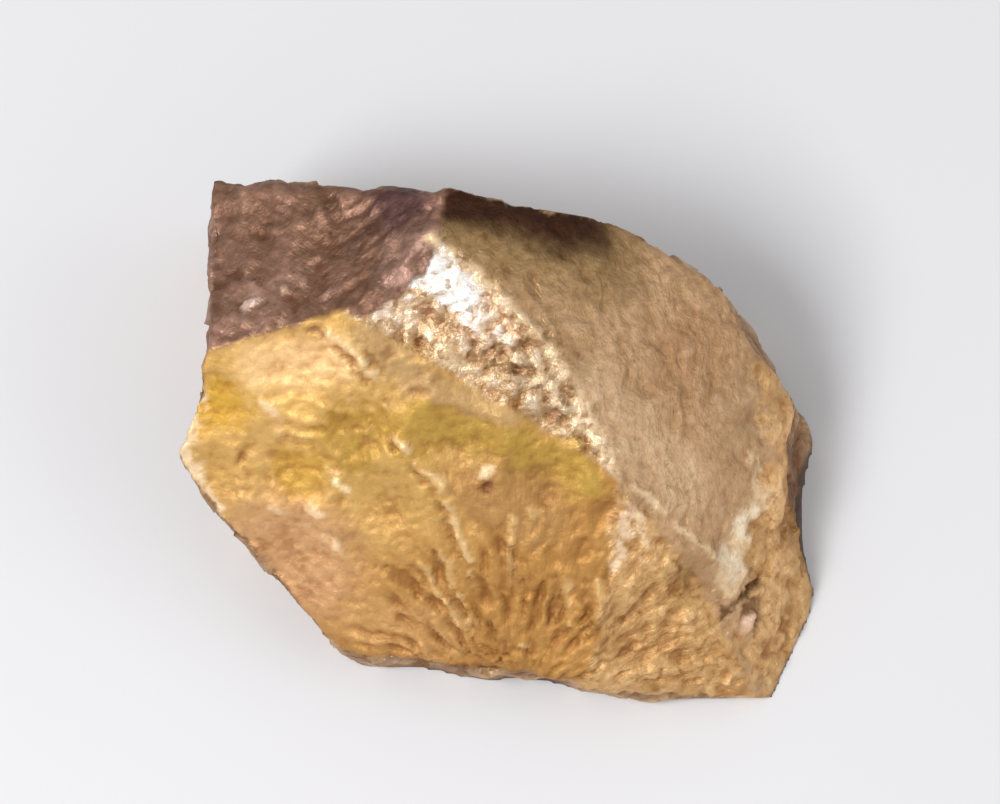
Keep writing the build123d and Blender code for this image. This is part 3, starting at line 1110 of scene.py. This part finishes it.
@dataclass(frozen=True)
class SideFinish(Finish):
    """Hackly metal round the sides."""

    kind: Kind = Kind.SIDE
    middle: Colour = (0.44, 0.26, 0.125)
    other: Colour = (0.30, 0.165, 0.08)
    lift: Triple = (1.6, 1.8, 2.1)
    contrast: float = 0.8
    depths: Triple = (0.08, 0.08, 0.2)
    tones: Triple = (0.35, 0.5, 0.2)
    past: float = 99.0  # it lies below all the others
    patches: tuple[Spot, ...] = (
        Spot((-27.0, 2.0, 25.0), 9.0, (0.25, 0.135, 0.09), 0.9, end=(-26.0, 16.0, 25.0)),
    )

    def flow(self, graph: Graph, place: Signal) -> Signal:
        """The pattern that the fine lines follow."""
        return graph.vector("MULTIPLY", place, (1.2, 1.2, 0.3))

    def relief(self, graph: Graph, grain: Grain) -> Signal:
        """The relief that is cut into the mesh."""
        steps = graph.noise(graph.vector("MULTIPLY", grain.place, (1.0, 1.0, 0.4)), 3.4, 3.0)
        return graph.crystals(grain.place, 3.0).facet * 0.35 + steps * 0.25 + grain.fine * 0.06


@dataclass(frozen=True)
class MouldFinish(Finish):
    """The dull grey-brown skin that the mould gave the ingot."""

    kind: Kind = Kind.MOULD
    middle: Colour = (0.15, 0.105, 0.08)
    other: Colour = (0.10, 0.065, 0.048)
    contrast: float = 0.5
    depths: Triple = (0.0, 0.05, 0.0)
    tones: Triple = (0.0, 0.4, 0.0)
    gloss: tuple[float, float] = (0.62, 0.4)

    def relief(self, graph: Graph, grain: Grain) -> Signal:
        """The relief that is cut into the mesh."""
        return self.pits(graph, grain.place, 4.0, 0.3) * -0.25


# The order counts: each finish is laid over those before it
FINISHES = (
    SideFinish(),
    GoldenFinish(),
    CornerFinish(),
    TanFinish(),
    SparklingFinish(),
    TarnishedFinish(),
    MouldFinish(),
)


@dataclass
class Lump:
    """The broken lump: the solid from the frame with its relief and finishes."""

    node: str = "alloy_lump"
    grain: float = 0.34  # width of the mesh's faces
    finishes: tuple[Finish, ...] = FINISHES
    undulation: float = 0.30  # height of the broadest waves
    wave_width: float = 11.0
    cloud_width: float = 6.0
    ragged_width: float = 2.4
    fine_width: float = 0.9
    bend_width: float = 2.5
    bend: float = 0.5  # how far the bent patterns are moved
    edge_wear: float = 0.70
    wear_width: float = 2.2  # from the edge
    bared: float = 0.85  # how pale the crest is where its rim is bare
    flake: float = 0.7  # width of a crystal
    blunt: float = 0.35  # sine of the turn of an edge that is too blunt to wear down
    body: bpy.types.Object = field(init=False)

    def build(self) -> bpy.types.Object:
        """Makes the lump.

        Returns:
            The finished object.
        """
        self.body = frame["nodes"][self.node].copy()
        self.body.data = self.body.data.copy()
        self.body.name = self.body.data.name = "broken_lump"
        self.body.parent = None
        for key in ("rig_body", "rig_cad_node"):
            del self.body[key]
        bpy.context.scene.collection.objects.link(self.body)
        self.merge()
        Modelling.work(self.body, "REMESH", mode="VOXEL", voxel_size=self.grain * MM)
        self.mark_faces()
        self.mark_textures()
        for finish in self.finishes:
            finish.work(self.body)
        self.raise_relief()
        Modelling.pick_up(self.body)
        bpy.ops.object.shade_smooth()
        self.body.data.materials.clear()
        self.body.data.materials.append(self.material())
        return self.body

    def merge(self) -> None:
        """Joins the loose triangles of the solid's copy."""
        Modelling.pick_up(self.body)
        bpy.ops.object.mode_set(mode="EDIT")
        bpy.ops.mesh.select_all(action="SELECT")
        bpy.ops.mesh.remove_doubles(threshold=0.001 * MM)
        bpy.ops.object.mode_set(mode="OBJECT")

    def mark_faces(self) -> None:
        """Writes on each point how deep inside each kind of face it lies, and how far from an edge."""
        mesh = self.body.data
        points = np.zeros(len(mesh.vertices) * 3)
        mesh.vertices.foreach_get("co", points)
        points = points.reshape(-1, 3) / MM + np.array(MIDDLE)
        heights = np.stack([face.height(points) for face in BREAKS])
        marks = {Mark.SUNK.value[0]: heights.max(0)}
        heights += np.array([[face.creep] for face in BREAKS])
        outward = np.array([face.outward() for face in BREAKS])
        turned = np.linalg.norm(np.cross(outward[:, None], outward[None]), axis=2)
        # how far along each face every other face is met
        reached = (heights[:, None] - heights[None]) / np.maximum(turned, 0.2)[:, :, None]
        kinds = np.array([face.kind.value for face in BREAKS])
        for kind in Kind:
            marks[kind.value] = reached[kinds == kind.value][:, kinds != kind.value].min(1).max(0)
        reached[turned < self.blunt] = np.inf
        marks[Mark.EDGE.value[0]] = reached.min(1).max(0)
        marks[Mark.CALM.value[0]] = np.max([marks[kind.value] for kind in Kind], axis=0)
        for name, values in marks.items():
            mesh.attributes.new(name, "FLOAT", "POINT").data.foreach_set("value", values.astype(np.float32))

    def mark_textures(self) -> None:
        """Writes the textures that all the finishes share on the mesh."""
        graph = WorkGraph("shared textures")
        place = graph.place()
        textures = {
            Mark.RELIEF: graph.noise(place, self.wave_width, 1.0) * self.undulation,
            Mark.BENT: graph.swirled(place, self.bend_width, self.bend),
            Mark.CLOUDS: graph.noise(place, self.cloud_width, 2.0),
            Mark.RAGGED: graph.noise(place, self.ragged_width, 3.0),
            Mark.FINE: graph.noise(place, self.fine_width, 2.0),
        }
        graph.keep(textures)
        graph.work(self.body)

    def raise_relief(self) -> None:
        """Moves the points, wears edges down, bares the crest and ends the fine lines short of the rims."""
        graph = WorkGraph("relief")
        place = graph.place()
        worn = graph.kept(Mark.EDGE).rise(self.wear_width, 0.0)
        wear = worn * graph.noise(place, 2.8, 2.0).rise(-0.3, 1.0)
        relief = graph.kept(Mark.RELIEF) - wear * self.edge_wear
        near = [graph.inside(kind).rise(-0.9, -0.2) for kind in (Kind.TAN, Kind.SPARKLING)]
        bare = near[0] * near[1] * graph.kept(Mark.RAGGED).rise(-0.6, 0.0)
        colour = graph.mix(bare * self.bared, graph.kept(Mark.COLOUR), CREAM)
        calm = graph.bundle(graph.kept(Mark.CALM).rise(0.5, 1.1), 1.0, 1.0)
        fine_marks = (Mark.DEPTHS, Mark.TONES)
        calmed = {mark: graph.vector("MULTIPLY", graph.kept(mark), calm) for mark in fine_marks}
        graph.keep({Mark.COLOUR: colour, **calmed})
        graph.move(relief * graph.along(place, Vector((0, 0, 1))).rise(0.0, 1.5))
        graph.work(self.body)

    def material(self) -> bpy.types.Material:
        """The alloy, with the fine lines, grains and crystals that the mesh is too coarse for.

        Returns:
            The material.
        """
        graph = SkinGraph("fractured_alloy")
        place = graph.place()
        colour = graph.kept(Mark.COLOUR)
        marks = (Mark.DEPTHS, Mark.TONES, Mark.GLOSS)
        depths, tones, gloss = (graph.parts(graph.kept(mark)) for mark in marks)
        lines = graph.noise(graph.kept(Mark.FLOW), 1.0, 3.0)
        fine = graph.noise(place, 0.7, 4.0)
        flakes = graph.crystals(place, self.flake)
        pick = flakes.pick * 2.0 - 1.0
        tone = lines * tones[0] + fine * tones[1] + pick * tones[2]
        deep = graph.vector("MULTIPLY", colour, DEEP)
        pale = graph.vector("MULTIPLY", colour, PALE)
        colour = graph.mix(tone.rise(0.0, -0.7), colour, deep)
        colour = graph.mix(tone.rise(0.0, 0.7) * 0.7, colour, pale)
        height = lines * depths[0] + fine * depths[1] + flakes.facet * depths[2]
        inputs = {
            "Base Color": colour,
            "Roughness": gloss[0] - pick * 0.05 - fine * 0.05,
            "Metallic": gloss[1],
            "Normal": graph.node("ShaderNodeBump", {}, {"Strength": 1.0, "Distance": MM, "Height": height}),
        }
        return graph.finish(inputs)


@dataclass(frozen=True)
class Lamp:
    """A square soft lamp that points at the lump."""

    name: str
    place: tuple[float, float, float]
    width: float
    watts: float

    def hang(self, target: Vector) -> None:
        """Hangs the lamp.

        Args:
            target: the point that it shines at.
        """
        data = bpy.data.lights.new(self.name, "AREA")
        data.size = self.width
        data.energy = self.watts
        lamp = bpy.data.objects.new(self.name, data)
        lamp.location = self.place
        lamp.rotation_euler = (target - Vector(self.place)).to_track_quat("-Z", "Y").to_euler()
        bpy.context.scene.collection.objects.link(lamp)


@dataclass
class Studio:
    """The floor, the lamps, the world and the camera."""

    floor_width: float = 4.0
    floor_colour: Colour = (0.70, 0.70, 0.72)
    world_strength: float = 0.52
    view_height: float = 70.0
    view_distance: float = 0.80
    view_width: float = 0.094  # width of what the camera sees at the lump
    sensor_width: float = 36.0
    lamps: tuple[Lamp, ...] = (
        Lamp("key", (-0.35, -0.25, 0.60), 0.28, 4.2),
        Lamp("fill", (0.55, -0.20, 0.45), 0.60, 1.0),
    )

    def build(self, target: Vector) -> None:
        """Sets the studio up.

        Args:
            target: the middle of what is shown.
        """
        self.lay_floor()
        self.set_world()
        for lamp in self.lamps:
            lamp.hang(target)
        self.set_camera(target)
        bpy.context.scene.view_settings.view_transform = "Standard"

    def lay_floor(self) -> None:
        """Lays a wide pale floor under the lump."""
        bpy.ops.object.select_all(action="DESELECT")
        bpy.ops.mesh.primitive_plane_add(size=self.floor_width)
        floor = bpy.context.object
        floor.name = floor.data.name = "studio_floor"
        graph = SkinGraph("pale_floor")
        inputs = {"Base Color": (*self.floor_colour, 1.0), "Roughness": 0.7}
        floor.data.materials.append(graph.finish(inputs))

    def set_world(self) -> None:
        """Fills the studio with even light."""
        world = bpy.data.worlds.new("studio")
        world.use_nodes = True
        background = world.node_tree.nodes["Background"]
        background.inputs["Color"].default_value = (1.0, 1.0, 1.0, 1.0)
        background.inputs["Strength"].default_value = self.world_strength
        bpy.context.scene.world = world

    def set_camera(self, target: Vector) -> None:
        """Sets the camera up in front of the lump, looking steeply down.

        Args:
            target: the point that it looks at.
        """
        data = bpy.data.cameras.new("camera")
        data.sensor_width = self.sensor_width
        data.lens = self.sensor_width * self.view_distance / self.view_width
        camera = bpy.data.objects.new("camera", data)
        slope = math.radians(self.view_height)
        camera.location = target + Vector((0, -math.cos(slope), math.sin(slope))) * self.view_distance
        camera.rotation_euler = (math.radians(90 - self.view_height), 0, 0)
        bpy.context.scene.collection.objects.link(camera)
        bpy.context.scene.camera = camera


def main() -> None:
    """Builds the lump and the studio."""
    logging.basicConfig(level=logging.INFO, format="%(name)s: %(message)s")
    lump = Lump()
    body = lump.build()
    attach(body, "root")
    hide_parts(lump.node)
    log.info("%s has %d faces", body.name, len(body.data.polygons))
    low, high = (Vector(corner) for corner in CAD_BOX)
    Studio().build((low + high) / 2)


if __name__ == "__main__":
    main()
